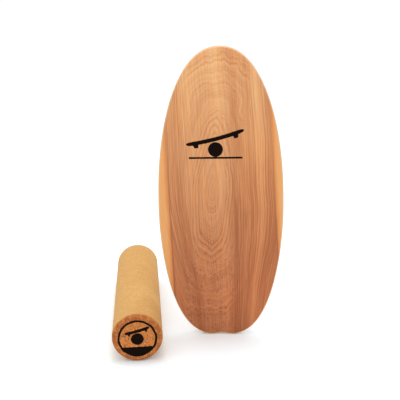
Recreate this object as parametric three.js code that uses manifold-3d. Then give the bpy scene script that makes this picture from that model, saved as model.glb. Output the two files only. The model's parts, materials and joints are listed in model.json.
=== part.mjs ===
// Balance board set: an oval laminated wooden deck, stored upright on its tail, and a solid
// cork roller lying on the floor beside it.
//
// Millimetres, +Z up. The deck's standing face looks towards -Y and its underside, with the two
// stop bars, towards +Y. The origin is on the floor, under the middle of the whole set.

import * as THREE from 'three';
import { mergeVertices } from 'three/addons/utils/BufferGeometryUtils.js';
import Module from 'manifold-3d';

// ---------------------------------------------------------------- driving dimensions

// Deck outline. Each half is a superellipse: (along / reach)^along + (across / half width)^across = 1.
const DECK_LENGTH = 720;
const DECK_WIDTH = 304;
const WIDEST_AT = 0.455 * DECK_LENGTH; // height above the tail where the deck is widest
const NOSE_POWER = { along: 2.2, across: 2.17 };
const TAIL_POWER = { along: 1.83, across: 2.92 };
const TAIL_NOTCH = { halfWidth: 36, depth: 5 }; // shallow wave that leaves two rounded lobes
const OUTLINE_STEPS = 22; // points on each quarter of the outline
const TAIL_CROWDING = 1.45; // above 1, the points crowd towards the tail's tip and its notch

// Deck lamination, from the standing face to the underside.
const VENEER = 0.9;
const CORE_PLY = 1.6;
const CORE_PLIES = 7;
const DECK_THICKNESS = 2 * VENEER + CORE_PLIES * CORE_PLY;
const EDGE_RADIUS = 4.5; // both rims of the deck are rounded over

// Stop bars under the nose and the tail, which keep the roller under the deck.
const STOP = { length: 150, width: 28, height: 14, corner: 5, cornerSteps: 4, fromTip: 72 };
const SCREW_SPOTS = [-60, -20, 20, 60]; // along each stop bar, from its middle

// Countersunk wood screws, driven from the underside.
const SCREW = { shank: 1.75, head: 3.9, headDepth: 2.6, length: 21, tip: 3, sunk: 0.4, sides: 12 };
const SOCKET = { mouth: 1.3, floor: 0.9, depth: 1.5, sides: 6 }; // drive recess in the head
const CLEARANCE = 0.3; // between a screw and its hole

// Cork roller.
const ROLLER_RADIUS = 60;
const ROLLER_LENGTH = 500;
const ROLLER_ROUNDING = 9; // soft rim at both ends
const ROLLER_SIDES = 56;
const ROLLER_RIM_STEPS = 4;
const ROLLER_YAW = THREE.MathUtils.degToRad(8); // turn of its axis away from +Y, seen from above
const ROLLER_NEAR_END = new THREE.Vector3(-196, -148, ROLLER_RADIUS); // from the deck's middle

// ---------------------------------------------------------------- solids

const MERGE_DISTANCE = 1e-4;

const wasm = await Module();
wasm.setup();

function toSolid(geometry) {
  const bare = geometry.index ? geometry.toNonIndexed() : geometry.clone();
  bare.deleteAttribute('normal');
  bare.deleteAttribute('uv');
  const merged = mergeVertices(bare, MERGE_DISTANCE);
  return new wasm.Manifold(new wasm.Mesh({
    numProp: 3,
    vertProperties: new Float32Array(merged.attributes.position.array),
    triVerts: new Uint32Array(merged.index.array),
  }));
}

function toGeometry(solid) {
  const mesh = solid.getMesh();
  const geometry = new THREE.BufferGeometry();
  geometry.setAttribute('position', new THREE.BufferAttribute(mesh.vertProperties, 3));
  geometry.setIndex(new THREE.BufferAttribute(mesh.triVerts, 1));
  geometry.computeVertexNormals();
  return geometry;
}

function cut(geometry, tools) {
  let solid = toSolid(geometry);
  for (const tool of tools) solid = solid.subtract(toSolid(tool));
  return toGeometry(solid);
}

function piece(name, geometry, material) {
  const mesh = new THREE.Mesh(geometry, material.clone());
  mesh.name = name;
  return mesh;
}

// A flat slab with its outline in the X-Z plane, between two distances along Y.
function slab(outline, front, back) {
  const geometry = new THREE.ExtrudeGeometry(new THREE.Shape(outline), {
    depth: back - front, bevelEnabled: false,
  });
  const points = geometry.attributes.position;
  for (let i = 0; i < points.count; i += 1) {
    const onFront = points.getZ(i) > 0;
    points.setXYZ(i, points.getX(i), onFront ? front : back, points.getY(i));
  }
  return geometry;
}

// ---------------------------------------------------------------- deck outline

function notchLift(x) {
  if (Math.abs(x) >= TAIL_NOTCH.halfWidth) return 0;
  return TAIL_NOTCH.depth * 0.5 * (1 + Math.cos(Math.PI * x / TAIL_NOTCH.halfWidth));
}

// A point of the outline: turn 0 is the deck's right side, 1 the nose, 2 the left side, 3 the tail.
function rawOutlinePoint(turn) {
  const fromTail = turn - 3;
  const crowded = 3 + Math.sign(fromTail) * Math.abs(fromTail) ** TAIL_CROWDING;
  const angle = (Math.abs(fromTail) < 1 ? crowded : turn) * Math.PI / 2;
  const rising = Math.sin(angle) >= 0;
  const power = rising ? NOSE_POWER : TAIL_POWER;
  const reach = rising ? DECK_LENGTH - WIDEST_AT : WIDEST_AT;
  const across = Math.abs(Math.cos(angle)) ** (2 / power.across);
  const along = Math.abs(Math.sin(angle)) ** (2 / power.along);
  const x = Math.sign(Math.cos(angle)) * across * DECK_WIDTH / 2;
  if (rising) return new THREE.Vector2(x, WIDEST_AT + along * reach);
  return new THREE.Vector2(x, WIDEST_AT - along * reach + notchLift(x));
}

// The whole rim. The notch lifts the tail a little, so the rim is stretched back to full length.
function deckRim() {
  const raw = Array.from({ length: 4 * OUTLINE_STEPS }, (_, i) => rawOutlinePoint(i / OUTLINE_STEPS));
  const lowest = Math.min(...raw.map((point) => point.y));
  const stretch = DECK_LENGTH / (DECK_LENGTH - lowest);
  return raw.map((point) => new THREE.Vector2(point.x, (point.y - lowest) * stretch));
}

// The rim, moved inwards by the given distance.
function deckOutline(inset) {
  const rim = deckRim();
  const count = rim.length;
  return rim.map((point, i) => {
    const before = rim[(i + count - 1) % count];
    const after = rim[(i + 1) % count];
    const along = after.clone().sub(before).normalize();
    return new THREE.Vector2(point.x - inset * along.y, point.y + inset * along.x);
  });
}

// How far the rounded rim has drawn in at a depth measured from the standing face.
function rimInset(depth) {
  const fromFace = Math.min(depth, DECK_THICKNESS - depth);
  if (fromFace >= EDGE_RADIUS) return 0;
  return EDGE_RADIUS - Math.sqrt(EDGE_RADIUS ** 2 - (EDGE_RADIUS - fromFace) ** 2);
}

// ---------------------------------------------------------------- materials

const cherry = new THREE.MeshStandardMaterial({ color: 0xc98a5a, roughness: 0.45, metalness: 0 });
const corePale = new THREE.MeshStandardMaterial({ color: 0xd9b483, roughness: 0.6, metalness: 0 });
const coreDark = new THREE.MeshStandardMaterial({ color: 0xb98a5c, roughness: 0.6, metalness: 0 });
const hardwood = new THREE.MeshStandardMaterial({ color: 0xb07a4c, roughness: 0.5, metalness: 0 });
const steel = new THREE.MeshStandardMaterial({ color: 0xb9bcc0, roughness: 0.3, metalness: 1 });
const cork = new THREE.MeshStandardMaterial({ color: 0xe0ac68, roughness: 0.9, metalness: 0 });

// ---------------------------------------------------------------- deck, stops and screws

const FRONT = -DECK_THICKNESS / 2;
const BACK = DECK_THICKNESS / 2;
const STOP_FACE = BACK + STOP.height;
const STOPS = [
  { name: 'tail_stop', height: STOP.fromTip },
  { name: 'nose_stop', height: DECK_LENGTH - STOP.fromTip },
];

// Profile of a screw from its tip to its head, turned about Y with the head towards +Y.
function screwBody(grow) {
  const radius = SCREW.shank + grow;
  const head = SCREW.head + grow;
  return new THREE.LatheGeometry([
    new THREE.Vector2(0, -grow),
    new THREE.Vector2(radius, SCREW.tip - grow),
    new THREE.Vector2(radius, SCREW.length - SCREW.headDepth),
    new THREE.Vector2(head, SCREW.length),
    new THREE.Vector2(0, SCREW.length),
  ], SCREW.sides);
}

function screwHole() {
  const sink = new THREE.CylinderGeometry(
    SCREW.head + CLEARANCE, SCREW.head + CLEARANCE, 2 * SCREW.sunk, SCREW.sides,
  ).translate(0, SCREW.length + SCREW.sunk, 0);
  return toGeometry(toSolid(screwBody(CLEARANCE)).add(toSolid(sink)));
}

function screwPlaces(stop) {
  const tip = STOP_FACE - SCREW.sunk - SCREW.length;
  return SCREW_SPOTS.map((x) => new THREE.Vector3(x, tip, stop.height));
}

const allHoles = STOPS.flatMap(screwPlaces).map(
  (place) => screwHole().translate(place.x, place.y, place.z),
);

function deckPly(name, depth, thickness, material) {
  const front = FRONT + depth;
  const back = FRONT + depth + thickness;
  const blank = slab(deckOutline(rimInset(depth + thickness / 2)), front, back);
  const deepest = STOP_FACE - SCREW.sunk - SCREW.length - CLEARANCE;
  const drilled = back > deepest;
  return piece(name, drilled ? cut(blank, allHoles) : blank, material);
}

function stopBar(stop) {
  const half = STOP.width / 2;
  const inner = half - STOP.corner;
  const section = new THREE.Shape();
  section.moveTo(-half, 0);
  section.lineTo(half, 0);
  section.lineTo(half, STOP.height - STOP.corner);
  section.absarc(inner, STOP.height - STOP.corner, STOP.corner, 0, Math.PI / 2, false);
  section.absarc(-inner, STOP.height - STOP.corner, STOP.corner, Math.PI / 2, Math.PI, false);
  section.closePath();
  const bar = new THREE.ExtrudeGeometry(section, {
    depth: STOP.length, bevelEnabled: false, curveSegments: STOP.cornerSteps,
  });
  const points = bar.attributes.position;
  for (let i = 0; i < points.count; i += 1) {
    const x = STOP.length / 2 - points.getZ(i);
    points.setXYZ(i, x, BACK + points.getY(i), stop.height + points.getX(i));
  }
  const holes = screwPlaces(stop).map((p) => screwHole().translate(p.x, p.y, p.z));
  return piece(stop.name, cut(bar, holes), hardwood);
}

function woodScrew(name, place) {
  const socket = new THREE.CylinderGeometry(SOCKET.mouth, SOCKET.floor, 2 * SOCKET.depth, SOCKET.sides)
    .translate(0, SCREW.length, 0);
  const body = cut(screwBody(0), [socket]);
  return piece(name, body.translate(place.x, place.y, place.z), steel);
}

const deck = new THREE.Group();
deck.add(deckPly('face_veneer', 0, VENEER, cherry));
for (let i = 0; i < CORE_PLIES; i += 1) {
  const depth = VENEER + i * CORE_PLY;
  deck.add(deckPly(`core_ply_${i + 1}`, depth, CORE_PLY, i % 2 ? coreDark : corePale));
}
deck.add(deckPly('back_veneer', VENEER + CORE_PLIES * CORE_PLY, VENEER, cherry));
for (const stop of STOPS) {
  deck.add(stopBar(stop));
  screwPlaces(stop).forEach((place, i) => deck.add(woodScrew(`${stop.name}_screw_${i + 1}`, place)));
}

// ---------------------------------------------------------------- roller

function corkRoller() {
  const profile = [new THREE.Vector2(0, 0)];
  const flat = ROLLER_RADIUS - ROLLER_ROUNDING;
  for (let i = 0; i <= ROLLER_RIM_STEPS; i += 1) {
    const angle = (i / ROLLER_RIM_STEPS) * Math.PI / 2;
    const drop = ROLLER_ROUNDING * (1 - Math.cos(angle));
    profile.push(new THREE.Vector2(flat + ROLLER_ROUNDING * Math.sin(angle), drop));
  }
  const farHalf = profile.map((p) => new THREE.Vector2(p.x, ROLLER_LENGTH - p.y)).reverse();
  const geometry = new THREE.LatheGeometry([...profile, ...farHalf], ROLLER_SIDES);
  return piece('cork_roller', toGeometry(toSolid(geometry)), cork);
}

const roller = new THREE.Group();
roller.add(corkRoller());
roller.rotation.z = ROLLER_YAW;
roller.position.copy(ROLLER_NEAR_END);

// ---------------------------------------------------------------- the whole set

const set = new THREE.Group();
set.add(deck, roller);
const middle = new THREE.Box3().setFromObject(set, true).getCenter(new THREE.Vector3());
set.position.set(-middle.x, -middle.y, 0);

const balanceBoard = new THREE.Group();
balanceBoard.add(set);

export default balanceBoard;
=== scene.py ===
# Balance board set: a deck of glued plies that stands on its tail, and a cork roller beside it.
import json
import math
import random

import bmesh
import bpy
from bpy.props import FloatProperty, FloatVectorProperty, IntProperty, PointerProperty
from mathutils import Matrix, Vector


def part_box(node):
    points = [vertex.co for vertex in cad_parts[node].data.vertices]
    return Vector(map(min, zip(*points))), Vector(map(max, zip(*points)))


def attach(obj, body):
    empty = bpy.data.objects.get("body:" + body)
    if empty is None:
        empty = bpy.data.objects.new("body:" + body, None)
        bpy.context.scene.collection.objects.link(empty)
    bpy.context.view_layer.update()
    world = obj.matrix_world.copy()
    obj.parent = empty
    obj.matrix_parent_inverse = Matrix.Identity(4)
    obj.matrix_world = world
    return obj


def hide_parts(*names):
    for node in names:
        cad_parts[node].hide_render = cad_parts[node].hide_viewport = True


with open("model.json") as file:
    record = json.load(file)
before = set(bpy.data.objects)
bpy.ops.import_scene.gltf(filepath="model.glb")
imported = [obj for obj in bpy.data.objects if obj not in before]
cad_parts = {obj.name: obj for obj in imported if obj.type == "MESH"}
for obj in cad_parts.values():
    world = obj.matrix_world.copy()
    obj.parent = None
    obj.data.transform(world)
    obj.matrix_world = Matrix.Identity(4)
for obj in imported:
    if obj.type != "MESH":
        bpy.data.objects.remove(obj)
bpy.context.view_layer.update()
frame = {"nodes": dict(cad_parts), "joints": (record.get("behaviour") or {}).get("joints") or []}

bl_info = {
    "name": "Balance Board Set",
    "version": (1, 0, 0),
    "blender": (4, 5, 0),
    "location": "3D View > Sidebar > Balance Board",
    "description": "Builds a laminated balance board deck, its stop bars and its cork roller",
    "category": "Add Mesh",
}

# ---- places taken from the frame

MM = 0.001
CORE_PLIES = sorted(
    (name for name in frame["nodes"] if name.startswith("core_ply_")),
    key=lambda name: int(name.rsplit("_", 1)[1]),
)
STOPS = ("nose_stop", "tail_stop")
RIM_LOW, RIM_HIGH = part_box(CORE_PLIES[len(CORE_PLIES) // 2])
FACE_LOW, FACE_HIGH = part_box("face_veneer")
BACK_LOW, BACK_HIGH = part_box("back_veneer")
DECK_LENGTH = RIM_HIGH.z - RIM_LOW.z
DECK_WIDTH = RIM_HIGH.x - RIM_LOW.x
DECK_THICKNESS = BACK_HIGH.y - FACE_LOW.y
DECK_FOOT = Vector(((RIM_LOW.x + RIM_HIGH.x) / 2, FACE_LOW.y, 0.0))  # under the standing face
SPIN = frame["joints"][0]
ROLLER_END = Vector(SPIN["pos_m"])
ROLLER_AXIS = Vector(SPIN["axis"]).normalized()
ROLLER_RADIUS = ROLLER_END.z
ROLLER_LENGTH = max(
    (vertex.co - ROLLER_END).dot(ROLLER_AXIS)
    for vertex in frame["nodes"]["cork_roller"].data.vertices
)
ROLLER_TURN = math.atan2(-ROLLER_AXIS.x, ROLLER_AXIS.y)  # about Z, from the Y axis to the roller's


def srgb(*channels):
    """A colour given as 0 to 255 in sRGB, as Blender's linear values."""
    shares = (channel / 255 for channel in channels)
    return tuple(s / 12.92 if s <= 0.04045 else ((s + 0.055) / 1.055) ** 2.4 for s in shares)


def setting(kind, **fixed):
    """A short way to write the settings of one kind."""
    def make(name, description, default, **more):
        return kind(name=name, description=description, default=default, **{**fixed, **more})
    return make


size = setting(FloatProperty, min=0.0, unit="LENGTH", precision=4)
angle = setting(FloatProperty, subtype="ANGLE")
number = setting(FloatProperty, precision=3)
whole = setting(IntProperty, min=1)
colour = setting(FloatVectorProperty, subtype="COLOR", size=3, min=0.0, max=1.0)


# ---- settings


class DeckSettings(bpy.types.PropertyGroup):
    """Outline and rim of the deck. Each half of the outline is a superellipse."""

    widest: number("Widest at", "Share of the length, from the tail, where it is widest", 0.455)
    nose_along: number("Nose power along", "Lengthwise power above the waist", 2.2)
    nose_across: number("Nose power across", "Crosswise power above the waist", 2.17)
    tail_along: number("Tail power along", "Lengthwise power below the waist", 1.83)
    tail_across: number("Tail power across", "Crosswise power below the waist", 2.92)
    notch_half_width: size("Notch half width", "Half the width of the wave in the tail", 36 * MM)
    notch_depth: size("Notch depth", "Depth of the wave in the tail", 5 * MM)
    edge_radius: size("Edge radius", "Radius of the rounded rims", 4.5 * MM)
    around: whole("Points around", "Points around the rim of each ply", 480)
    cap_rings: whole("Face rings", "Rings of faces on the veneers", 10)


class RollerSettings(bpy.types.PropertyGroup):
    """Shape and surface of the cork roller."""

    rounding: size("Rounding", "Radius of the soft rim at both ends", 9 * MM)
    granule: size("Granule", "Size of the cork granules", 3.4 * MM)
    relief: size("Relief", "Depth of the gaps between granules", 0.16 * MM)
    around: whole("Points around", "Points around the roller", 232)
    rows: whole("Rows", "Rows of points from end to end", 330)


class StopSettings(bpy.types.PropertyGroup):
    """Stop bars and their screws."""

    corner: size("Corner radius", "Radius of the bar's outer corners", 5 * MM)
    thread_pitch: size("Thread pitch", "Rise of the screw thread in one turn", 1.6 * MM)
    thread_depth: size("Thread depth", "Height of the screw thread", 0.35 * MM)
    drive_depth: size("Drive depth", "Depth of the star drive in the head", 1.5 * MM)


class MarkSettings(bpy.types.PropertyGroup):
    """The plain pictogram, a tilted board on a roller, printed on the deck and on the cork."""

    deck_height: size("Height on the deck", "Height of the mark's middle above the tail", 492 * MM)
    deck_offset: size("Offset on the deck", "Sideways place of the mark", -11 * MM, min=-1.0)
    board_length: size("Board length", "Length of the pictogram's board", 142 * MM)
    tilt: angle("Tilt", "Tilt of the pictogram's board", math.radians(14))
    ring_radius: size("Ring radius", "Outer radius of the ring on the roller", 46.7 * MM)
    ring_width: size("Ring width", "Width of the ring on the roller", 5.2 * MM)
    ink: size("Ink thickness", "Thickness of the print", 0.06 * MM)


class FinishSettings(bpy.types.PropertyGroup):
    """Colours of the woods, the cork, the print and the steel."""

    # The tail colours are darker than the nose colours: partly the wood's own tone, partly painted
    # shade on the lower deck.
    light_top: colour("Light grain, nose", "Light heartwood near the nose", srgb(233, 181, 126))
    dark_top: colour("Dark grain, nose", "Dark heartwood near the nose", srgb(200, 133, 85))
    light_foot: colour("Light grain, tail", "Light heartwood near the tail", srgb(196, 123, 78))
    dark_foot: colour("Dark grain, tail", "Dark heartwood near the tail", srgb(144, 78, 43))
    sapwood: colour("Sapwood", "Pale strips along both sides of the veneer", srgb(227, 166, 105))
    sapwood_edge: colour("Sapwood edge", "Sapwood beside the heartwood", srgb(212, 132, 70))
    # Paler veneer on the rounded rim: partly the sanded edge, partly a painted highlight along the
    # rim.
    sanded_edge: colour("Sanded edge", "Veneer where the rounded rim cuts it", srgb(236, 192, 142))
    core_long: colour("Long plies", "Core plies with lengthwise grain", srgb(222, 178, 128))
    core_cross: colour("Cross plies", "Core plies with crosswise grain", srgb(176, 124, 80))
    stop_wood: colour("Stop bars", "Hardwood of the stop bars", srgb(176, 118, 72))
    cork_side: colour("Cork", "Sanded side of the roller", srgb(200, 155, 95))
    # The end colour is partly the sealed cork's own tone, partly painted shade.
    cork_end: colour("Cork end", "Ends of the roller", srgb(196, 121, 63))
    # The rim colour is partly a burnt edge, partly painted shade.
    cork_rim: colour("Cork rim", "Rounded rim of the roller's ends", srgb(146, 82, 44))
    print_ink: colour("Print", "Dark print of the marks", srgb(17, 9, 6))
    steel: colour("Screws", "Zinc plated screws", srgb(190, 192, 194))


class StageSettings(bpy.types.PropertyGroup):
    """Floor, light and camera."""

    camera_side: size("Camera side", "Sideways place of the camera", 0.0318, min=-2.0)
    camera_distance: size("Camera distance", "Distance of the camera from the deck", 1.509)
    camera_height: size("Camera height", "Height of the camera above the floor", 0.7747)
    camera_yaw: angle("Camera yaw", "Turn of the camera to its right", math.radians(-3.117))
    camera_pitch: angle("Camera pitch", "Tilt of the camera to the floor", math.radians(15.498))
    camera_roll: angle("Camera roll", "Turn of the camera about its view", math.radians(-1.14))
    lens: number("Lens", "Focal length on a 36 mm frame", 58.0)
    world: number("Studio light", "Strength of the light from all round", 1.04)
    overhead: number("Overhead light", "Strength of the light from straight above", 1.34)
    key: number("Softbox", "Power of the overhead softbox, in watts", 11.0)
    floor: colour("Floor", "Pale floor", srgb(240, 246, 250))


class BoardSettings(bpy.types.PropertyGroup):
    """Everything that a user may change."""

    deck: PointerProperty(type=DeckSettings)
    roller: PointerProperty(type=RollerSettings)
    stops: PointerProperty(type=StopSettings)
    mark: PointerProperty(type=MarkSettings)
    finish: PointerProperty(type=FinishSettings)
    stage: PointerProperty(type=StageSettings)


def settings():
    return bpy.context.scene.balance_board


# ---- node trees


def arithmetic(operation, swapped=False):
    """A method that puts a Math node for a value and another one."""
    def method(self, other):
        return self.nodes.math(operation, *((other, self) if swapped else (self, other)))
    return method


class Value:
    """One output of a node. Arithmetic with it puts Math nodes into the same tree."""

    def __init__(self, nodes, node, output=0):
        self.nodes, self.node, self.output = nodes, node, output

    def __getitem__(self, output):
        return Value(self.nodes, self.node, output)

    def __abs__(self):
        return self.nodes.math("ABSOLUTE", self)

    __add__, __mul__, __pow__ = arithmetic("ADD"), arithmetic("MULTIPLY"), arithmetic("POWER")
    __sub__, __rsub__ = arithmetic("SUBTRACT"), arithmetic("SUBTRACT", swapped=True)
    __truediv__, __rtruediv__ = arithmetic("DIVIDE"), arithmetic("DIVIDE", swapped=True)


class Nodes:
    """Puts nodes into a tree. An input is a number, a vector, a colour or a Value."""

    def __init__(self, tree):
        self.tree = tree

    def put(self, kind, inputs=None, output=0, **settings):
        """Adds a node and gives one of its outputs."""
        node = self.tree.nodes.new(kind)
        node.location = (180 * len(self.tree.nodes), 0)
        for name, value in settings.items():
            setattr(node, name, value)
        for key, value in (inputs or {}).items():
            self.wire(value, node.inputs[key])
        return Value(self, node, output)

    def wire(self, value, socket):
        if isinstance(value, Value):
            self.tree.links.new(value.node.outputs[value.output], socket)
        elif socket.type == "RGBA":
            socket.default_value = (*value, 1.0)
        else:
            socket.default_value = value

    def math(self, operation, *values):
        return self.put("ShaderNodeMath", dict(enumerate(values)), operation=operation)

    def least(self, a, b):
        return self.math("MINIMUM", a, b)

    def most(self, a, b):
        return self.math("MAXIMUM", a, b)

    def vector_math(self, operation, *values):
        return self.put("ShaderNodeVectorMath", dict(enumerate(values)), operation=operation)

    def clamp(self, value):
        return self.put("ShaderNodeClamp", {0: value})

    def circle(self, bearing):
        """Cosine and sine of a bearing."""
        return self.math("COSINE", bearing), self.math("SINE", bearing)

    def split(self, vector):
        parts = self.put("ShaderNodeSeparateXYZ", {0: vector})
        return parts[0], parts[1], parts[2]

    def join(self, x, y, z):
        return self.put("ShaderNodeCombineXYZ", {0: x, 1: y, 2: z})

    def step(self, value, low, high):
        """0 below low and 1 above high, smooth between them."""
        inputs = {"Value": value, "From Min": low, "From Max": high}
        return self.put("ShaderNodeMapRange", inputs, interpolation_type="SMOOTHSTEP")

    def fade(self, value, low, high):
        """1 below low and 0 above high, smooth between them."""
        return 1.0 - self.step(value, low, high)

    def lerp(self, share, a, b):
        """Number a where share is 0 and b where it is 1."""
        return self.put("ShaderNodeMix", {0: share, 2: a, 3: b}, data_type="FLOAT")

    def blend(self, share, a, b, mode="MIX"):
        """Colour a where share is 0 and b where it is 1."""
        inputs = {0: share, 6: a, 7: b}
        return self.put("ShaderNodeMix", inputs, 2, data_type="RGBA", blend_type=mode)

    def legs(self, value, start, *legs):
        """Straight legs, each (how far value goes on, what is reached there), from a start."""
        reached, at = start, 0.0
        for stretch, target in legs:
            inputs = {"Value": value, "From Min": at, "From Max": at + stretch}
            share = self.put("ShaderNodeMapRange", inputs, clamp=True)
            reached, at = self.lerp(share, reached, target), at + stretch
        return reached

    def noise(self, vector, scale, detail=2.0, roughness=0.5):
        """Noise with scale repeats in a metre, or with a number of its own for each axis."""
        if isinstance(scale, tuple):
            vector, scale = self.put("ShaderNodeMapping", {"Vector": vector, "Scale": scale}), 1.0
        inputs = {"Vector": vector, "Scale": scale, "Detail": detail, "Roughness": roughness}
        return self.put("ShaderNodeTexNoise", inputs)

    def noise_line(self, value, scale, detail=1.0):
        """Noise along one number, for bands of uneven width."""
        inputs = {"W": value, "Scale": scale, "Detail": detail}
        return self.put("ShaderNodeTexNoise", inputs, noise_dimensions="1D")


SOCKET_KINDS = {float: "Float", int: "Int", Vector: "Vector", type(None): "Material"}
SEAM = 0.005 * MM  # points closer than this are merged


def from_settings(group, *keys):
    """Tree inputs named after settings, with their values."""
    return {key.capitalize().replace("_", " "): getattr(group, key) for key in keys}


def new_growth_tree(name, inputs):
    """Nodes in a new tree, and its named inputs, which start from the values given."""
    tree = bpy.data.node_groups.new(name, "GeometryNodeTree")
    for label, value in inputs.items():
        kind = "NodeSocket" + SOCKET_KINDS[type(value)]
        socket = tree.interface.new_socket(name=label, in_out="INPUT", socket_type=kind)
        if value is not None:
            socket.default_value = value
    nodes = Nodes(tree)
    return nodes, nodes.put("NodeGroupInput")


def grid(n, columns, rows):
    """A flat grid to be bent round, with each point's share of a turn and its row number.

    The last column has share 0 again, so it lands exactly on the first.
    """
    flat = n.put("GeometryNodeMeshGrid", {
        "Size X": 1.0, "Size Y": 1.0, "Vertices X": columns + 1, "Vertices Y": rows + 1,
    })
    x, y, _ = n.split(n.put("GeometryNodeInputPosition"))
    return flat, n.math("FRACT", x + 0.5), (y + 0.5) * rows


def bent(n, flat, places):
    """The flat grid with its points moved to their places."""
    return n.put("GeometryNodeSetPosition", {"Geometry": flat, "Position": places})


def finish_growth(n, geometry, given, sharpest, flip=False):
    """Merges seams, turns faces outwards, creases edges over sharpest degrees, sets material."""
    merged = n.put("GeometryNodeMergeByDistance", {"Geometry": geometry, "Distance": SEAM})
    outward = n.put("GeometryNodeFlipFaces", {0: merged}) if flip else merged
    smooth = n.put("GeometryNodeSetShadeSmooth", {0: outward}, domain="FACE")
    bend = n.put("GeometryNodeInputMeshEdgeAngle")
    sharp = n.put(
        "FunctionNodeCompare", {0: bend, 1: math.radians(sharpest)},
        data_type="FLOAT", operation="GREATER_THAN",
    )
    inputs = {0: smooth, "Selection": sharp, "Shade Smooth": False}
    creased = n.put("GeometryNodeSetShadeSmooth", inputs, domain="EDGE")
    real = n.put("GeometryNodeRealizeInstances", {0: creased})
    painted = n.put("GeometryNodeSetMaterial", {0: real, "Material": given["Material"]})
    n.tree.interface.new_socket(
        name="Geometry", in_out="OUTPUT", socket_type="NodeSocketGeometry"
    )
    n.put("NodeGroupOutput", {0: painted})


def place_object(name, data):
    piece = bpy.data.objects.new(name, data)
    bpy.context.scene.collection.objects.link(piece)
    return piece


def plain_mesh(piece):
    """A piece's mesh with its modifiers applied."""
    graph = bpy.context.evaluated_depsgraph_get()
    return bpy.data.meshes.new_from_object(piece.evaluated_get(graph), depsgraph=graph)


def grow(name, tree, values):
    """The tree's result as a plain mesh object at the origin."""
    blank = place_object(name + "_growth", bpy.data.meshes.new(name + "_growth"))
    modifier = blank.modifiers.new("growth", "NODES")
    modifier.node_group = tree
    for item in tree.interface.items_tree:
        if item.item_type == "SOCKET" and item.in_out == "INPUT" and item.name in values:
            modifier[item.identifier] = values[item.name]
    mesh = plain_mesh(blank)
    mesh.name = name
    bpy.data.objects.remove(blank)
    return place_object(name, mesh)


def hand_over(piece, body, slot, *nodes):
    """Hangs a piece on its body's empty and hides the CAD nodes that it stands for."""
    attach(piece, body)
    if nodes:
        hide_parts(*nodes)


# ---- finishes


class Finish(Nodes):
    """A material whose colour, roughness and bump are worked out by its own nodes."""

    def __init__(self, name, **constants):
        self.material = bpy.data.materials.new(name)
        self.material.use_nodes = True
        super().__init__(self.material.node_tree)
        self.surface = self.tree.nodes["Principled BSDF"].inputs
        for key, value in constants.items():
            self.surface[key.replace("_", " ")].default_value = value

    def here(self, origin, turn=0.0):
        """Position from an origin, in axes turned about Z."""
        place = self.put("ShaderNodeTexCoord", output="Object")
        moved = self.vector_math("SUBTRACT", place, origin)
        return self.put("ShaderNodeMapping", {"Vector": moved, "Rotation": (0.0, 0.0, -turn)})

    def tones(self, value, *stops):
        """A grey that follows stops of (position, level), with positions from 0 to 1."""
        grey = self.put("ShaderNodeValToRGB", {0: value})
        ramp = grey.node.color_ramp
        ramp.interpolation = "B_SPLINE"
        while len(ramp.elements) < len(stops):
            ramp.elements.new(0.5)
        for element, (position, level) in zip(ramp.elements, stops):
            element.position, element.color = position, (level, level, level, 1.0)
        return grey

    def tinted(self, ground, tint):
        return self.blend(1.0, ground, tint, "MULTIPLY")

    def done(self, colour, roughness, height, strength, distance):
        """The finished material; height is its bump's, strength and distance how much shows."""
        inputs = {"Height": height, "Strength": strength, "Distance": distance}
        self.wire(colour, self.surface["Base Color"])
        self.wire(roughness, self.surface["Roughness"])
        self.wire(self.put("ShaderNodeBump", inputs), self.surface["Normal"])
        return self.material


def shades(rgb, low, high):
    """A darker and a paler shade of a colour."""
    return [tuple(min(1.0, channel * share) for channel in rgb) for share in (low, high)]


# Broad light and dark bands of the veneer from its left side to its right: place in mm, tone.
VENEER_BANDS = (
    (-150, 0.45), (-124, 0.30), (-112, 0.42), (-100, 0.20), (-90, 0.34), (-78, 0.66),
    (-62, 0.68), (-48, 0.58), (-30, 0.60), (-12, 0.66), (2, 0.86), (16, 0.62), (28, 0.44),
    (40, 0.10), (52, 0.30), (64, 0.46), (80, 0.18), (90, 0.48), (100, 0.82), (110, 0.50),
    (121, 0.08), (150, 0.30),
)
VENEER_REACH = 150  # mm from the middle that the bands cover
# Its uneven patterns: repeats in a metre across the grain and along it, detail, roughness.
VENEER_PATTERNS = {
    "sway": (9.0, 3.2, 2.0, 0.5),
    "wander": (30.0, 9.0, 3.0, 0.55),
    "fine wander": (110.0, 26.0, 3.0, 0.6),
    "streaks": (300.0, 9.0, 3.0, 0.6),
    "fibres": (900.0, 24.0, 2.0, 0.6),
    "cloud": (15.0, 5.0, 3.0, 0.5),
    "hue": (120.0, 6.0, 3.0, 0.6),
    "sapwood edge": (40.0, 14.0, 2.0, 0.5),
}
BROAD_LINES, MEDIUM_LINES, LATE_LINES, THIN_LINES = 70.0, 300.0, 380.0, 1000.0  # in a metre
HEART_MIDDLE = 0.37  # height of the middle of the nested arches on the face
BACK_HEART_MIDDLE = 0.21  # and on the back
VEIN_ACROSS = 0.037  # place of one dark vein right of the middle
SAP_LEFT, SAP_RIGHT = -0.1265, 0.1315  # where the sapwood strips begin
WHITE = (1.0, 1.0, 1.0)
COOL_TINT, WARM_TINT = (0.985, 0.985, 0.985), (1.04, 0.955, 0.83)
# The first darkens the heartwood near the floor: painted shade. The second darkens the sapwood
# towards the tail: partly its own tone, partly painted shade.
PAINTED_FLOOR_SHADE, SAP_TAIL_TONE_AND_SHADE = (0.89, 0.89, 0.90), (0.90, 0.86, 0.82)


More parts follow.
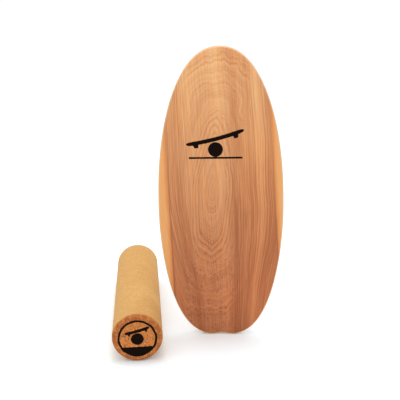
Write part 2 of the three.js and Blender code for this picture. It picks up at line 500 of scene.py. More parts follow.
def cherry_face(name, surface, middle, figure, seed):
    """Sliced cherry: nested pointed arches in the middle, straight grain beside them.

    surface is the depth of the veneer's flat face, middle the height of the arches' middle,
    figure their strength, and seed shifts the noise.
    """
    finish = settings().finish
    f = Finish(name, Coat_Weight=0.10, Coat_Roughness=0.34, Specular_IOR_Level=0.22)
    x, y, z = f.split(f.here(DECK_FOOT))
    spot = f.join(x, seed, z)

    def pattern(kind, place=spot):
        across_grain, along_grain, detail, roughness = VENEER_PATTERNS[kind]
        return f.noise(place, (across_grain, across_grain, along_grain), detail, roughness)

    rise = z - middle
    slant = rise * (x * 0.148 + 0.045)
    gather = f.fade(z, -0.05, 0.36)  # the grain draws in towards the tail
    across = x + slant + (pattern("sway") - 0.5) * 0.022 + x * gather * 0.62

    # Nested figure: distance from the log's heart, which lies closest at the middle.
    wander = pattern("wander") - 0.5
    axis = x - (rise * 0.05 - 0.020)
    side = abs(axis + wander * 0.014)
    high = rise + wander * 0.05
    beyond_nose = f.most(high - 0.17, 0.0)
    beyond_tail = f.most(-0.10 - high, 0.0)
    lift = abs(high) * 0.23 + beyond_nose * 0.26 + beyond_tail * 0.20
    peaked = f.step(rise, -0.07, 0.09) * f.fade(rise, 0.19, 0.25)
    point = f.lerp(peaked, 2.35, 1.36)  # below 2, the ovals grow pointed ends
    squares = side**point + lift**point + 0.0001
    restless = f.lerp(f.step(z, 0.06, 0.30), 0.0105, 0.0032)  # the figure is wilder near the tail
    rings = squares ** (1.0 / point) + (pattern("fine wander") - 0.5) * restless
    to_top = f.step(rise, 0.10, 0.24)
    in_figure = f.fade(abs(axis) - to_top * 0.008, 0.042, 0.080)

    def lines(scale, detail):
        """Growth lines, which follow the rings in the figure and the grain beside it."""
        beside, within = (f.noise_line(way + seed, scale, detail) for way in (across, rings))
        return f.lerp(in_figure, beside, within)

    thin = lines(THIN_LINES, 1.0)
    late = f.step(f.noise_line(rings + seed, LATE_LINES), 0.52, 0.78) ** 1.6
    late_strength = f.lerp(to_top, -0.42, -0.22) * f.lerp(f.step(z, 0.06, 0.17), 0.35, 1.0)
    bands = f.tones(
        across * (0.5 / (VENEER_REACH * MM)) + 0.5,
        *((0.5 + at / (2 * VENEER_REACH), tone) for at, tone in VENEER_BANDS),
    )
    streaks = pattern("streaks", f.join(across, seed, z))
    fibres = pattern("fibres")
    fleck_seed = f.noise(f.join(rings, x, z), (420.0, 130.0, 130.0))
    low_middle = in_figure * f.fade(z, 0.12, 0.34)
    flecks = f.step(fleck_seed, 0.60, 0.67) * f.lerp(low_middle, 0.08, 1.0)
    corners = f.step(abs(x), 0.045, 0.085) * f.fade(z, 0.05, 0.25)
    on_vein = f.fade(abs(across - VEIN_ACROSS), 0.0005, 0.006)
    vein = on_vein * f.step(z, 0.20, 0.30) * f.fade(z, 0.34, 0.37)
    tone = bands + corners * 0.25
    for grain, strength in (
        (f.noise_line(rings + seed, BROAD_LINES), f.lerp(in_figure, 0.2, 0.6 * figure)),
        (lines(MEDIUM_LINES, 2.0), f.lerp(in_figure, 1.25, 0.75 * figure)),
        (thin, 0.55), (streaks, 1.35), (fibres, 0.65), (pattern("cloud"), 0.5),
    ):
        tone = tone + (grain - 0.5) * strength
    tone = tone + late * in_figure * late_strength * figure - flecks * 0.6 - vein * 0.4

    # The heartwood darkens from nose to tail: partly its own tone, partly painted shade on the
    # lower deck.
    to_nose = f.step(z, 0.05, 0.80)
    light = f.blend(to_nose, finish.light_foot, finish.light_top)
    dark = f.blend(to_nose, finish.dark_foot, finish.dark_top)
    hue = f.step(pattern("hue", f.join(x, seed + 3.0, z)), 0.42, 0.66)
    ruddy = f.step(x, 0.015, 0.075) * f.fade(z, 0.45, 0.60) * 0.75
    warmth = f.blend(hue + ruddy, COOL_TINT, WARM_TINT)
    warmed = f.tinted(f.blend(tone, dark, light), warmth)
    # Painted shade: the heartwood is darkened over its lowest 11 cm, next to the floor.
    heartwood = f.tinted(warmed, f.blend(f.step(z, 0.0, 0.11), PAINTED_FLOOR_SHADE, WHITE))

    # Sapwood strips along both sides, with a warm line next to the heartwood.
    line = x + slant + (pattern("sapwood edge") - 0.5) * 0.003 + (fibres - 0.5) * 0.003
    outside = f.most(SAP_LEFT - line, line - SAP_RIGHT)
    sap_mask = f.step(outside, -0.0006, 0.0018)
    sap_tone = streaks * 0.9 + fibres * 0.5 + f.fade(outside, 0.0, 0.011) * 0.8 - 0.55
    sap_light = f.blend(sap_tone, finish.sapwood, finish.sapwood_edge)
    # The sapwood darkens towards the tail: partly its own tone, partly painted shade.
    sapwood = f.tinted(sap_light, f.blend(to_nose, SAP_TAIL_TONE_AND_SHADE, WHITE))
    dark_line = f.step(outside, -0.006, -0.001) * (1.0 - sap_mask) * 0.75
    veneer = f.blend(sap_mask, f.blend(dark_line, heartwood, dark), sapwood)
    # Painted highlight: the veneer cut by the rounded rim is paler, partly as a sanded edge and
    # partly as a highlight along the rim, most near the tail.
    sanded_and_highlit_band = f.step(abs(y - surface), 0.1 * MM, 0.5 * MM)
    edge_highlight_share = f.lerp(f.step(z, 0.03, 0.12), 0.7, 0.28)
    wood = f.blend(sanded_and_highlit_band * edge_highlight_share, veneer, finish.sanded_edge)
    pores = fibres * 0.8 + thin * 0.2 - flecks * 0.3
    return f.done(wood, f.lerp(streaks, 0.52, 0.38), pores, 0.15, 0.4 * MM)


def plain_wood(name, middle_colour, along, darkest=0.72, gloss=0.5):
    """Quiet straight grain; along is the axis that the fibres follow, 0 for X and 2 for Z."""
    f = Finish(name, Coat_Weight=0.12, Coat_Roughness=0.4, Specular_IOR_Level=0.3)
    place = f.here(DECK_FOOT)

    def drawn_out(across_grain, along_grain, *detail):
        scale = [across_grain] * 3
        scale[along] = along_grain
        return f.noise(place, tuple(scale), *detail)

    bend = drawn_out(9.0, 1.4)
    lines = f.noise_line(f.split(place)[2 - along] + bend * 0.05, 260.0, 2.0)
    fibres = drawn_out(700.0, 18.0, 2.0, 0.6)
    pores = f.step(drawn_out(1400.0, 130.0, 1.0), 0.60, 0.70)
    tone = lines * 0.7 + fibres * 0.8 + bend * 0.3 - pores * 0.5 - 0.35
    wood = f.blend(tone, *shades(middle_colour, darkest, 1.12))
    roughness = f.lerp(fibres, gloss + 0.06, gloss - 0.06)
    return f.done(wood, roughness, fibres - pores * 0.6, 0.2, 0.3 * MM)


BARK, CORK_SEAM = srgb(104, 58, 30), srgb(120, 72, 36)


def cork():
    """Agglomerated cork: pressed granules of many tones, darker on the ends, partly sealed cork
    and partly painted shade.
    """
    finish, roller = settings().finish, settings().roller
    f = Finish("cork", Specular_IOR_Level=0.12)
    place = f.here(ROLLER_END, ROLLER_TURN)
    across, along, up = f.split(place)

    def granules(scale):
        cells = f.put("ShaderNodeTexVoronoi", {"Vector": place, "Scale": scale, "Randomness": 1.0})
        return f.split(cells["Color"])[0], cells["Distance"]

    coarse, gap = granules(1.0 / roller.granule)
    fine, fine_gap = granules(2.6 / roller.granule)
    blotch = f.noise(place, 26.0, 3.0, 0.6)
    tone = coarse * 0.42 + fine * 0.34 + blotch * 0.55 - 0.16
    from_end = f.least(along, ROLLER_LENGTH - along)
    frayed = from_end + (blotch - 0.5) * 0.004
    end = f.fade(frayed, 0.25 * roller.rounding, 1.15 * roller.rounding)
    side = f.blend(tone, *shades(finish.cork_side, 0.81, 1.16))
    # Painted shade: the ends get a darker, browner cork, partly their sealed finish and partly the
    # shade of faces turned from the overhead light.
    sealed_shaded_end = f.blend(tone, *shades(finish.cork_end, 0.50, 1.52))
    bark = f.step(coarse, 0.92, 0.94) * f.lerp(end, 0.14, 0.70)
    speckled = f.blend(bark, f.blend(end, side, sealed_shaded_end), BARK)
    seams = f.step(gap, 0.46, 0.74) * f.lerp(end, 0.10, 0.34)
    from_axis = f.math("SQRT", across * across + up * up) + blotch * 0.004
    # A patchy darker ring on the rounded rim of each end: partly a burnt edge, partly painted
    # shade.
    rim_starts = ROLLER_RADIUS - 1.5 * roller.rounding
    rim = end * f.step(from_axis, rim_starts, rim_starts + 0.7 * roller.rounding)
    patchy_rim_darkening = f.lerp(f.step(f.noise(place, 70.0), 0.40, 0.62), 0.25, 0.85)
    joined = f.blend(rim * patchy_rim_darkening, f.blend(seams, speckled, CORK_SEAM), finish.cork_rim)
    height = gap * -0.7 - fine_gap * 0.4
    return f.done(joined, f.lerp(fine, 0.95, 0.82), height, 0.35, 0.6 * MM)


def burnt_print(name):
    """Dark print that lets a little of the ground's unevenness through."""
    f = Finish(name, Specular_IOR_Level=0.03)
    grain = f.noise(f.here(DECK_FOOT), 900.0)
    dark = f.blend(f.step(grain, 0.5, 0.8), *shades(settings().finish.print_ink, 1.0, 1.8))
    return f.done(dark, f.lerp(grain, 0.7, 0.5), grain, 0.1, 0.2 * MM)


def zinc_steel():
    """Zinc plated steel, a little mottled."""
    f = Finish("zinc_steel", Metallic=1.0)
    mottle = f.noise(f.here(DECK_FOOT), 420.0, 3.0)
    tint = f.blend(mottle, *shades(settings().finish.steel, 0.7, 1.0))
    return f.done(tint, f.lerp(mottle, 0.42, 0.28), mottle, 0.08, 0.2 * MM)


# ---- deck plies

TAIL_CROWDING = 1.45  # above 1, the points crowd towards the tail's tip and its notch
NUDGE = 0.002  # how far along the rim its direction is measured, in quarter turns


def rim_point(n, given, turn):
    """A point of the deck's rim: turn 0 is the right side, 1 the nose, 2 the left, 3 the tail."""
    from_tail = turn - 3.0
    distance = abs(from_tail)
    crowded = n.math("SIGN", from_tail) * distance**TAIL_CROWDING + 3.0
    near_tail = n.math("LESS_THAN", distance, 1.0)
    cosine, sine = n.circle(n.lerp(near_tail, turn, crowded) * (math.pi / 2))
    rising = n.math("GREATER_THAN", sine, 0.0)

    def share(part, way):
        power = n.lerp(rising, given["Tail " + way], given["Nose " + way])
        return n.math("SIGN", part) * abs(part) ** (2.0 / power)

    across = share(cosine, "across") * given["Width"] * 0.5
    waist = given["Length"] * given["Widest"]
    height = waist + share(sine, "along") * n.lerp(rising, waist, given["Length"] - waist)
    wave = n.least(abs(across) / given["Notch half width"], 1.0)
    crest = (n.math("COSINE", wave * math.pi) + 1.0) * 0.5 * given["Notch depth"]
    return across, height + crest * (1.0 - rising)


def ply_tree():
    """One ply of the deck, from the middle of its front over the rounded rim to its back."""
    n, given = new_growth_tree("Deck ply", {
        **from_settings(
            settings().deck, "widest", "nose_along", "nose_across", "tail_along", "tail_across",
            "notch_half_width", "notch_depth", "edge_radius", "around",
        ),
        "Length": DECK_LENGTH, "Width": DECK_WIDTH, "Deck thickness": DECK_THICKNESS,
        "Depth": 0.0, "Thickness": DECK_THICKNESS, "Middle": DECK_FOOT.x, "Front": DECK_FOOT.y,
        "Cap rings": 1, "Side rings": 4, "Material": None,
    })
    caps, length, radius = given["Cap rings"], given["Length"], given["Edge radius"]
    last = caps * 2.0 + given["Side rings"]
    flat, share_around, row = grid(n, given["Around"], last)
    to_rim = n.clamp(n.least(row / caps, (last - row) / caps))
    spread = 1.0 - n.clamp(1.0 - to_rim) ** 1.7
    down_side = n.clamp((row - caps) / given["Side rings"])
    depth = given["Depth"] + given["Thickness"] * down_side
    from_face = n.least(depth, given["Deck thickness"] - depth)
    missing = n.most(radius - from_face, 0.0)
    chord = n.most(radius * radius - missing * missing, 0.0)
    inset = radius - n.math("SQRT", chord)
    turn = share_around * 4.0
    across, raw_height = rim_point(n, given, turn)
    across_ahead, height_ahead = rim_point(n, given, turn + NUDGE)
    across_behind, height_behind = rim_point(n, given, turn - NUDGE)
    inputs = {"Geometry": flat, 2: raw_height}
    lowest = n.put("GeometryNodeAttributeStatistic", inputs, "Min")
    stretch = length / (length - lowest)
    height = (raw_height - lowest) * stretch
    run = across_ahead - across_behind
    climb = (height_ahead - height_behind) * stretch
    pace = n.math("SQRT", run * run + climb * climb)
    x = across - inset * (climb / pace)
    z = height + inset * (run / pace)
    centre = length * 0.5
    places = n.join(
        given["Middle"] + x * spread, given["Front"] + depth, centre + (z - centre) * spread
    )
    finish_growth(n, bent(n, flat, places), given, 35, flip=True)
    return n.tree


def make_ply(tree, node, name, material, slot, cap_rings, side_rings):
    low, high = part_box(node)
    piece = grow(name, tree, {
        "Depth": low.y - FACE_LOW.y, "Thickness": high.y - low.y,
        "Cap rings": cap_rings, "Side rings": side_rings, "Material": material,
    })
    hand_over(piece, "deck", slot, node)


# ---- cork roller

FLAT_ROWS, RIM_ROWS = 24, 12  # rows of points on each end face and on each rounded rim
END_ROWS = FLAT_ROWS + RIM_ROWS
QUARTER = math.pi / 2


def roller_tree():
    """A cork cylinder with softly rounded ends and fine gaps between its granules."""
    n, given = new_growth_tree("Cork roller", {
        **from_settings(settings().roller, "rounding", "granule", "relief", "around", "rows"),
        "Radius": ROLLER_RADIUS, "Length": ROLLER_LENGTH, "Turn": ROLLER_TURN,
        "Near end": ROLLER_END, "Material": None,
    })
    flat, share_around, row = grid(n, given["Around"], given["Rows"])
    rounding = given["Rounding"]
    side_rows = given["Rows"] - 2 * END_ROWS
    far_rim = row - END_ROWS - side_rows
    near_bend = n.legs(row, 0.0, (FLAT_ROWS, 0.0), (RIM_ROWS, QUARTER))
    near_cosine, near_sine = n.circle(near_bend)
    far_cosine, far_sine = n.circle(n.legs(far_rim, 0.0, (RIM_ROWS, QUARTER)))
    flat_radius = given["Radius"] - rounding
    outwards = near_sine * far_cosine
    growing = n.legs(row, 0.0, (FLAT_ROWS, flat_radius))
    shrinking = n.legs(far_rim - RIM_ROWS, 0.0, (FLAT_ROWS, flat_radius))
    radius = growing - shrinking + rounding * outwards
    endwards = far_sine - near_cosine
    side_share = n.clamp((row - END_ROWS) / side_rows)
    side_length = given["Length"] - rounding * 2.0
    along = rounding + rounding * endwards + side_length * side_share

    cosine, sine = n.circle(share_around * (-2.0 * math.pi))
    place = n.join(radius * cosine, along, radius * sine)
    facing = n.join(outwards * cosine, endwards, outwards * sine)
    cells = n.put("ShaderNodeTexVoronoi", {
        "Vector": place, "Scale": 1.0 / given["Granule"], "Randomness": 1.0,
    }, "Distance", feature="DISTANCE_TO_EDGE")
    wear = n.noise(place, 60.0)
    sunk = (n.fade(cells, 0.0, 0.16) + wear * 0.6) * (given["Relief"] * -0.6)
    shape = n.vector_math("MULTIPLY_ADD", facing, n.join(sunk, sunk, sunk), place)
    inputs = {"Vector": shape, "Angle": given["Turn"]}
    turned = n.put("ShaderNodeVectorRotate", inputs, rotation_type="Z_AXIS")
    places = n.vector_math("ADD", turned, given["Near end"])
    finish_growth(n, bent(n, flat, places), given, 60)
    return n.tree


# ---- stop bars and screws

SCREWS = {
    stop: sorted(name for name in frame["nodes"] if name.startswith(stop + "_screw_"))
    for stop in STOPS
}
SINK_MOUTH, SINK_HOLE, SINK_DEPTH = 4.2 * MM, 1.95 * MM, 3.1 * MM
SCREW_SIDES = 36
SHARP = math.radians(30)  # edges that bend more than this stay sharp
SCREW_ROWS = (8, 72, 6, 1, 1, 4, 4, 3)  # tip, thread, neck, head's rim (2), face, drive, its floor
SCREW_EDGE = 0.12 * MM  # the small bevel round the head and the drive


def polar(radius, bearing):
    return radius * math.cos(bearing), radius * math.sin(bearing)


def add_skin(form, rings, closed=False):
    """Faces between rings of points; the ends get caps, or are joined if the skin is closed."""
    rings = [[form.verts.new(point) for point in ring] for ring in rings]
    for ring, following in zip(rings, rings[1:] + rings[:1] if closed else rings[1:]):
        for i in range(len(ring)):
            j = (i + 1) % len(ring)
            form.faces.new((ring[i], following[i], following[j], ring[j]))
    if not closed:
        form.faces.new(rings[0])
        form.faces.new(reversed(rings[-1]))


def finished_piece(form, name, material):
    """The bmesh as an object with outward faces, smooth but for its sharp edges."""
    bmesh.ops.recalc_face_normals(form, faces=form.faces)
    mesh = bpy.data.meshes.new(name)
    form.to_mesh(mesh)
    form.free()
    mesh.shade_smooth()
    mesh.set_sharp_from_angle(angle=SHARP)
    mesh.materials.append(material)
    return place_object(name, mesh)


def make_stop(stop, material):
    low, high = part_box(stop)
    form = bmesh.new()
    bmesh.ops.create_cube(form, size=1.0)
    for vertex in form.verts:
        for axis in range(3):
            vertex.co[axis] = high[axis] if vertex.co[axis] > 0 else low[axis]
    middle = (low.y + high.y) / 2
    outer = [e for e in form.edges if all(v.co.y > middle for v in e.verts)]
    upright = [e for e in form.edges if abs(e.verts[0].co.y - e.verts[1].co.y) > high.y - middle]
    bmesh.ops.bevel(
        form, geom=outer + upright, offset=settings().stops.corner, segments=8, profile=0.5,
        affect="EDGES", clamp_overlap=True,
    )
    bar = finished_piece(form, stop + "_bar", material)

    drill = bmesh.new()
    for screw in SCREWS[stop]:
        screw_low, screw_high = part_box(screw)
        axis = (screw_low + screw_high) / 2
        sunk = high.y - screw_high.y
        profile = (
            (SINK_MOUTH + 0.3 * MM, 0.0), (SINK_MOUTH + 0.3 * MM, -1 * MM),
            (SINK_MOUTH, -1.2 * MM), (SINK_MOUTH, -1 * MM - sunk),
            (SINK_HOLE, -1 * MM - SINK_DEPTH), (SINK_HOLE, low.y - high.y - 2 * MM),
        )
        foot = Vector((axis.x, high.y + 1 * MM, axis.z))
        bearings = [2 * math.pi * i / 40 for i in range(40)]
        add_skin(drill, [
            [foot + Vector((radius * math.cos(b), on, radius * math.sin(b))) for b in bearings]
            for radius, on in profile
        ])
    cutter = finished_piece(drill, "drill", material)
    cut = bar.modifiers.new("Holes", "BOOLEAN")
    cut.operation, cut.solver, cut.object = "DIFFERENCE", "EXACT", cutter
    drilled = plain_mesh(bar)
    bar.modifiers.clear()
    bar.data = drilled
    drilled.set_sharp_from_angle(angle=SHARP)
    bpy.data.objects.remove(cutter)
    hand_over(bar, "deck", "stop_hardwood", stop)


def screw_row_tree():
    """A row of countersunk wood screws with a star drive, all alike but turned at random."""
    n, given = new_growth_tree("Screw row", {
        **from_settings(settings().stops, "thread_pitch", "thread_depth", "drive_depth"),
        "Head radius": 3.9 * MM, "Shank radius": 1.75 * MM, "Length": 21 * MM,
        "Head depth": 2.6 * MM, "Tip": 3 * MM, "Drive radius": 1.3 * MM,
        "First": Vector(), "Spacing": Vector(), "Count": 4, "Seed": 0, "Material": None,
    })
    flat, share_around, row = grid(n, SCREW_SIDES, sum(SCREW_ROWS))
    length, head = given["Length"], given["Head radius"]
    bearing = share_around * (2.0 * math.pi)
    root = given["Shank radius"] - given["Thread depth"]
    drive = given["Drive radius"] + n.math("COSINE", bearing * 6.0) * (0.16 * MM)
    neck = length - given["Head depth"]
    drive_floor = length - given["Drive depth"]
    radius = n.legs(row, 0.0, *zip(SCREW_ROWS, (
        root, root, head - SCREW_EDGE, head, head - SCREW_EDGE, drive + SCREW_EDGE, drive * 0.86,
        0.0,
    )))
    on = n.legs(row, 0.0, *zip(SCREW_ROWS, (
        given["Tip"], neck, length - 2 * SCREW_EDGE, length - SCREW_EDGE, length, length,
        drive_floor, drive_floor - 2 * SCREW_EDGE,
    )))
    winding = n.math("FRACT", on / given["Thread pitch"] - share_around)
    ridge = (1.0 - abs(winding * 2.0 - 1.0)) ** 1.6
    starting = n.legs(on, 0.0, (1 * MM, 0.0), (2 * MM, 1.0))
    threaded = starting * n.fade(on, neck - 3 * MM, neck - 1.5 * MM)
    full = radius + ridge * threaded * given["Thread depth"]
    cosine, sine = n.circle(bearing)
    screw = bent(n, flat, n.join(full * cosine, on, full * sine))
    line = n.put("GeometryNodeMeshLine", {
        "Count": given["Count"], "Start Location": given["First"], "Offset": given["Spacing"],
    })
    inputs = {"Min": 0.0, "Max": 360.0, "Seed": given["Seed"]}
    turn = n.put("FunctionNodeRandomValue", inputs, 1)
    turned = n.join(0.0, n.math("RADIANS", turn), 0.0)
    rotation = n.put("FunctionNodeEulerToRotation", {0: turned})
    inputs = {"Points": line, "Instance": screw, "Rotation": rotation}
    placed = n.put("GeometryNodeInstanceOnPoints", inputs)
    real = n.put("GeometryNodeRealizeInstances", {0: placed})
    finish_growth(n, real, given, 40, flip=True)
    return n.tree


def make_screws(stop, tree, material, seed):
    boxes = [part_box(screw) for screw in SCREWS[stop]]
    feet = [Vector(((low.x + high.x) / 2, low.y, (low.z + high.z) / 2)) for low, high in boxes]
    feet.sort(key=lambda foot: foot.length)
    low, high = boxes[0]
    piece = grow(stop + "_screws", tree, {
        "Head radius": (high.z - low.z) / 2, "Length": high.y - low.y,
        "First": feet[0], "Spacing": (feet[-1] - feet[0]) / (len(feet) - 1), "Count": len(feet),
        "Seed": seed, "Material": material,
    })
    hand_over(piece, "deck", "screw_steel", *SCREWS[stop])


# ---- printed marks

CAMBER = 0.03  # rise of the pictogram's board at its ends, as a share of its length
STOP_FROM, STOP_TO = 0.31, 0.39  # where its stops sit, from its middle


class Print:
    """Thin closed shapes of print on a flat ground."""

    SUNK = 0.02 * MM

    def __init__(self, middle, right, out, scale, ink):
        self.form = bmesh.new()
        self.middle, self.right, self.out, self.scale, self.ink = middle, right, out, scale, ink

    def rim(self, outline, height):
        return [
            self.middle + (self.right * across + Vector((0, 0, up))) * self.scale
            + self.out * height
            for across, up in outline
        ]

    def band(self, inner, outer):
        """A closed band between two outlines with the same number of points."""
        rims = ((inner, -self.SUNK), (outer, -self.SUNK), (outer, self.ink), (inner, self.ink))
        add_skin(self.form, [self.rim(*rim) for rim in rims], closed=True)

    def patch(self, outline):
        """A filled shape."""
        add_skin(self.form, [self.rim(outline, -self.SUNK), self.rim(outline, self.ink)])

    def pictogram(self, tilt, half, radius, stop, lift, ground, ragged, draws):
        """A tilted board with its two stops, on a roller. The board is one unit long.

        half is half its thickness, stop the depth of its stops, and lift the height of its middle.
        """
        def rough(value):
            return value + ragged * draws.uniform(-1, 1)

        steps = 64
        top, bottom = [], []
        for i in range(steps + 1):
            x = i / steps - 0.5
            thickness = half * (1 - abs(2 * x) ** 12) ** 0.5
            bend = CAMBER * (2 * x) ** 2
            below = stop if STOP_FROM < abs(x) < STOP_TO else 0.0
            top.append((x, rough(bend + thickness)))
            bottom.append((x, rough(bend - thickness - below)))
        outline = top[:-1] + bottom[:0:-1]
        cosine, sine = math.cos(tilt), math.sin(tilt)
        self.patch([(x * cosine - y * sine, x * sine + y * cosine + lift) for x, y in outline])
        down = lift - (half + radius) / cosine - 0.012
        disc = (polar(radius, 2 * math.pi * i / 44) for i in range(44))
        self.patch([(rough(x), rough(down + y)) for x, y in disc])
        if ground:
            level = down - radius - ground
            line = [(x / 24 - 0.5) * 0.9 for x in range(25)]
            self.patch(
                [(x, rough(level + ground)) for x in line]
                + [(x, rough(level - ground)) for x in reversed(line)]
            )

    def hand_over(self, name, ink_name, body):
        hand_over(finished_piece(self.form, name, burnt_print(ink_name)), body, None)


def make_deck_mark():
    mark = settings().mark
    middle = Vector((DECK_FOOT.x + mark.deck_offset, FACE_LOW.y, mark.deck_height))
    right, out = Vector((1, 0, 0)), Vector((0, -1, 0))
    deck_print = Print(middle, right, out, mark.board_length, mark.ink)
    deck_print.pictogram(
        mark.tilt, half=0.034, radius=0.125, stop=0.05, lift=0.10, ground=0.016,
        ragged=0.0012, draws=random.Random(11),
    )
    deck_print.hand_over("deck_mark", "deck_print", "deck")


def make_roller_mark():
    mark = settings().mark
    out = -ROLLER_AXIS
    right = Vector((ROLLER_AXIS.y, -ROLLER_AXIS.x, 0))
    draws = random.Random(23)
    ring = Print(ROLLER_END, right, out, 1.0, mark.ink)
    count = 132
    outer, inner = [], []
    for i in range(count):
        bearing = 2 * math.pi * i / count
        if i % 6 == 0:
            swell = draws.uniform(-0.9, 0.5) * MM
        far = mark.ring_radius + swell + draws.uniform(-0.3, 0.3) * MM
        near = mark.ring_radius - mark.ring_width + 0.5 * swell + draws.uniform(-0.3, 0.3) * MM
        outer.append(polar(far, bearing))
        inner.append(polar(near, bearing))
    ring.band(inner, outer)
    ground = -0.46 * mark.ring_radius
    reach = mark.ring_radius - 0.5 * mark.ring_width
    low = math.asin(-ground / reach)
    chord = [polar(reach, math.pi + low + (math.pi - 2 * low) * i / 40) for i in range(41)]
    left, right_end = chord[0][0], chord[-1][0]
    shore = [
        (right_end + (left - right_end) * i / 30, ground + draws.uniform(-0.5, 0.5) * MM)
        for i in range(1, 30)
    ]
    ring.ink = 0.8 * mark.ink
    ring.patch(chord + shore)
    ring.hand_over("roller_ring_mark", "cork_print", "roller")

    sign = Print(ROLLER_END, right, out, 60 * MM, mark.ink)
    sign.pictogram(
        mark.tilt, half=0.062, radius=0.25, stop=0.085, lift=0.31, ground=0.0, ragged=0.006,
        draws=draws,
    )
    sign.hand_over("roller_board_mark", "cork_print_board", "roller")


# ---- stage


def make_stage():
    stage = settings().stage
    scene = bpy.context.scene
    scene.view_settings.view_transform = "Standard"

    floor_mesh = bpy.data.meshes.new("floor")
    disc = bmesh.new()
    bmesh.ops.create_circle(disc, cap_ends=True, segments=96, radius=9.0)
    disc.to_mesh(floor_mesh)
    disc.free()
    paper = Finish("floor_paper", Roughness=0.9, Specular_IOR_Level=0.0)
    paper.wire(stage.floor, paper.surface["Base Color"])
    floor_mesh.materials.append(paper.material)
    place_object("floor", floor_mesh)

    world = bpy.data.worlds.new("studio")
    world.use_nodes = True
    scene.world = world
    n = Nodes(world.node_tree)
    upwards = n.split(n.put("ShaderNodeTexCoord", output="Generated"))[2]
    sky = world.node_tree.nodes["Background"].inputs
    n.wire(WHITE, sky["Color"])
    n.wire(n.lerp(n.clamp(upwards) ** 1.5, stage.world, stage.overhead), sky["Strength"])

    softbox = bpy.data.lights.new("softbox", "AREA")
    softbox.shape, softbox.energy = "RECTANGLE", stage.key
    softbox.size, softbox.size_y = 0.7, 0.5
    lamp = place_object("softbox", softbox)
    lamp.location = DECK_FOOT + Vector((-0.1, 0.12, 2.2))
    aim = DECK_FOOT + Vector((-0.1, 0.0, 0.3)) - lamp.location
    lamp.rotation_euler = aim.to_track_quat("-Z", "Y").to_euler()

    camera = bpy.data.cameras.new("camera")
    camera.lens, camera.sensor_width = stage.lens, 36.0
    eye = place_object("camera", camera)
    deck_middle = (FACE_LOW.y + BACK_HIGH.y) / 2
    eye.location = (
        DECK_FOOT.x + stage.camera_side, deck_middle - stage.camera_distance, stage.camera_height
    )
    yaw = Matrix.Rotation(-stage.camera_yaw, 4, "Z")
    pitch = Matrix.Rotation(math.pi / 2 - stage.camera_pitch, 4, "X")
    roll = Matrix.Rotation(stage.camera_roll, 4, "Z")
    eye.rotation_euler = (yaw @ pitch @ roll).to_euler()
    scene.camera = eye


# ---- operators and panel


class BALANCE_OT_stage(bpy.types.Operator):
    """Set up the floor, the studio light and the camera"""

    bl_idname = "balance_board.stage"
    bl_label = "Stage"

    def execute(self, context):
        make_stage()
        return {"FINISHED"}


class BALANCE_OT_plies(bpy.types.Operator):
    """Build the deck's veneers and core plies"""

    bl_idname = "balance_board.plies"
    bl_label = "Deck plies"

    def execute(self, context):
        deck, finish = settings().deck, settings().finish
        tree = ply_tree()
        long_grain = plain_wood("core_long_wood", finish.core_long, along=2)
        cross_grain = plain_wood("core_cross_wood", finish.core_cross, along=0)
        face = cherry_face("cherry_face", 0.0, HEART_MIDDLE, figure=1.0, seed=0.0)
        back = cherry_face("cherry_back", DECK_THICKNESS, BACK_HEART_MIDDLE, figure=0.6, seed=0.7)
        grains = ((long_grain, "core_long_grain"), (cross_grain, "core_cross_grain"))
        rings = deck.cap_rings
        make_ply(tree, "face_veneer", "face_veneer_sheet", face, "face_veneer", rings, 6)
        for i, node in enumerate(CORE_PLIES):
            make_ply(tree, node, node.replace("ply", "layer"), *grains[i % 2], 1, 4)
        make_ply(tree, "back_veneer", "back_veneer_sheet", back, "back_veneer", rings, 6)
        return {"FINISHED"}


class BALANCE_OT_roller(bpy.types.Operator):
    """Build the cork roller"""

    bl_idname = "balance_board.roller"
    bl_label = "Cork roller"

    def execute(self, context):
        piece = grow("cork_cylinder", roller_tree(), {"Material": cork()})
        hand_over(piece, "roller", "cork", "cork_roller")
        return {"FINISHED"}


class BALANCE_OT_stops(bpy.types.Operator):
    """Build the two stop bars under the deck"""

    bl_idname = "balance_board.stops"
    bl_label = "Stop bars"

    def execute(self, context):
        wood = settings().finish.stop_wood
        hardwood = plain_wood("stop_hardwood", wood, along=0, darkest=0.5, gloss=0.42)
        for stop in STOPS:
            make_stop(stop, hardwood)
        return {"FINISHED"}


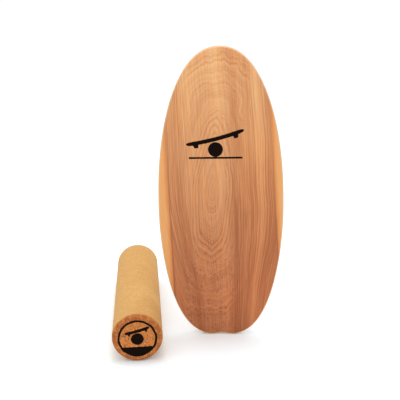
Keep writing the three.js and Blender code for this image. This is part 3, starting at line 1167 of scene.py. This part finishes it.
class BALANCE_OT_screws(bpy.types.Operator):
    """Build the screws that hold the stop bars"""

    bl_idname = "balance_board.screws"
    bl_label = "Screws"

    def execute(self, context):
        tree, steel = screw_row_tree(), zinc_steel()
        for seed, stop in enumerate(STOPS):
            make_screws(stop, tree, steel, seed)
        return {"FINISHED"}


class BALANCE_OT_marks(bpy.types.Operator):
    """Print the plain pictograms on the deck and on the roller's near end"""

    bl_idname = "balance_board.marks"
    bl_label = "Marks"

    def execute(self, context):
        make_deck_mark()
        make_roller_mark()
        return {"FINISHED"}


class BALANCE_PT_sidebar(bpy.types.Panel):
    """Sizes, colours and build buttons of the balance board set"""

    bl_label = "Balance Board"
    bl_idname = "BALANCE_PT_sidebar"
    bl_space_type = "VIEW_3D"
    bl_region_type = "UI"
    bl_category = "Balance Board"

    def draw(self, context):
        board = settings()
        for title, group, operators in (
            ("Deck", board.deck, (BALANCE_OT_plies,)),
            ("Roller", board.roller, (BALANCE_OT_roller,)),
            ("Stops and screws", board.stops, (BALANCE_OT_stops, BALANCE_OT_screws)),
            ("Marks", board.mark, (BALANCE_OT_marks,)),
            ("Finishes", board.finish, ()),
            ("Stage", board.stage, (BALANCE_OT_stage,)),
        ):
            box = self.layout.box()
            box.label(text=title)
            for setting in type(group).__annotations__:
                box.prop(group, setting)
            for operator in operators:
                box.operator(operator.bl_idname)


CLASSES = (
    DeckSettings, RollerSettings, StopSettings, MarkSettings, FinishSettings, StageSettings,
    BoardSettings, BALANCE_OT_plies, BALANCE_OT_stops, BALANCE_OT_screws, BALANCE_OT_roller,
    BALANCE_OT_marks, BALANCE_OT_stage, BALANCE_PT_sidebar,
)


def register():
    for item in CLASSES:
        bpy.utils.register_class(item)
    bpy.types.Scene.balance_board = PointerProperty(type=BoardSettings)


def unregister():
    del bpy.types.Scene.balance_board
    for item in reversed(CLASSES):
        bpy.utils.unregister_class(item)


def main():
    register()
    bpy.ops.balance_board.plies()
    bpy.ops.balance_board.stops()
    bpy.ops.balance_board.screws()
    bpy.ops.balance_board.roller()
    bpy.ops.balance_board.marks()
    bpy.ops.balance_board.stage()


if __name__ == "__main__":
    main()
